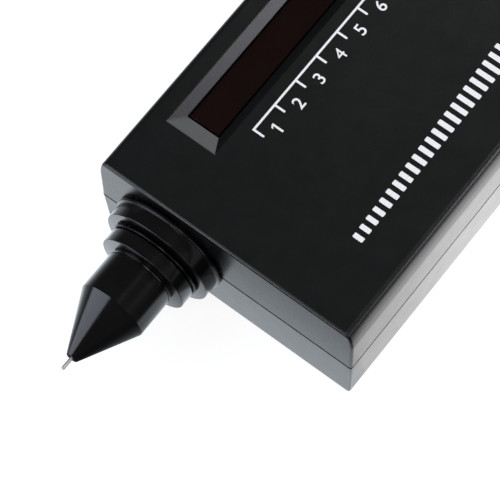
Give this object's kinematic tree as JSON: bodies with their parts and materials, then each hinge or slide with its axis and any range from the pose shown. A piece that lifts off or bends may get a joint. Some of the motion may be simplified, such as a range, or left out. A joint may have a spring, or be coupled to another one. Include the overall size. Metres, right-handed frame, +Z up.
{
  "type": "diamond tester",
  "caption": "Hand-held thermal diamond tester: flat two-shell case, sunken lamp window, stepped conical probe with a sprung metal pin, setting wheel and battery door.",
  "frame": {"origin": "middle of the bounding box in X and Y, at the height of the back face that it lies on", "axes": "+X from the probe's tip to the tail, +Y across the case to the display side, +Z up through the display face"},
  "size_m": [0.1834, 0.0588, 0.028],
  "materials": {
    "case_black": "satin black moulded plastic",
    "probe_black": "gloss black turned plastic",
    "window_red": "gloss dark red clear plastic",
    "pin_metal": "satin metal",
    "brass": "turned brass",
    "steel": "plated steel",
    "board_green": "green solder mask",
    "lamp_green": "green lens",
    "lamp_yellow": "yellow lens",
    "lamp_red": "red lens",
    "holder_black": "matte black plastic",
    "chip_black": "matte black epoxy",
    "ceramic_white": "white ceramic",
    "resistor_tan": "tan lacquer",
    "trimmer_blue": "blue plastic",
    "capacitor_sleeve": "dark blue sleeve",
    "wire_red": "red insulation",
    "wire_black": "black insulation",
    "battery_jacket": "plain dark printed jacket"
  },
  "bodies": {
    "case": {"upper_shell": "case_black", "lower_shell": "case_black", "probe_collar": "probe_black", "collar_washer": "probe_black", "nose_cone": "probe_black", "probe_plug": "probe_black", "display_window": "window_red", "probe_spring": "steel", "probe_lead_red": "wire_red", "probe_lead_black": "wire_black", "led_holder": "holder_black", "ready_led": "lamp_red", "circuit_board": "board_green", "driver_chip_a": "chip_black", "driver_chip_b": "chip_black", "amplifier_chip": "chip_black", "buzzer": "holder_black", "dial_switch": "trimmer_blue", "battery": "battery_jacket", "battery_snap": "holder_black", "battery_lead_red": "wire_red", "battery_lead_black": "wire_black", "led_1_green": "lamp_green", "led_2_green": "lamp_green", "led_3_green": "lamp_green", "led_4_yellow": "lamp_yellow", "led_5_yellow": "lamp_yellow", "led_6_yellow": "lamp_yellow", "led_7_red": "lamp_red", "led_8_red": "lamp_red", "led_9_red": "lamp_red", "led_10_red": "lamp_red", "led_11_red": "lamp_red", "led_12_red": "lamp_red", "case_screw_1": "steel", "resistor_1": "resistor_tan", "case_screw_2": "steel", "resistor_2": "resistor_tan", "case_screw_3": "steel", "resistor_3": "resistor_tan", "case_screw_4": "steel", "resistor_4": "resistor_tan", "board_screw_1": "steel", "capacitor_1": "capacitor_sleeve", "board_screw_2": "steel", "capacitor_2": "capacitor_sleeve", "board_screw_3": "steel", "capacitor_3": "capacitor_sleeve", "trimmer_1": "trimmer_blue", "trimmer_2": "trimmer_blue"},
    "probe": {"probe_pin": "pin_metal", "probe_carrier": "brass", "heat_sensor": "ceramic_white", "heater": "ceramic_white"},
    "wheel": {"thumb_wheel": "case_black", "dial_shaft": "steel", "wheel_screw": "steel"},
    "door": {"battery_door": "case_black"}
  },
  "joints": [
    {"name": "pin_press", "type": "slide", "parent": "case", "child": "probe", "axis": [1, 0, 0], "range_m": [0, 0.0012], "stiffness_N_per_m": 300, "springref_m": -0.001, "deforming": ["probe_spring"]},
    {"name": "wheel_turn", "type": "hinge", "parent": "case", "child": "wheel", "pos_m": [0.08168, 0.01565, 0.014], "axis": [0, 0, 1], "range_deg": [0, 300]},
    {"name": "door_slide", "type": "slide", "parent": "case", "child": "door", "axis": [1, 0, 0], "range_m": [0, 0.05]}
  ]
}
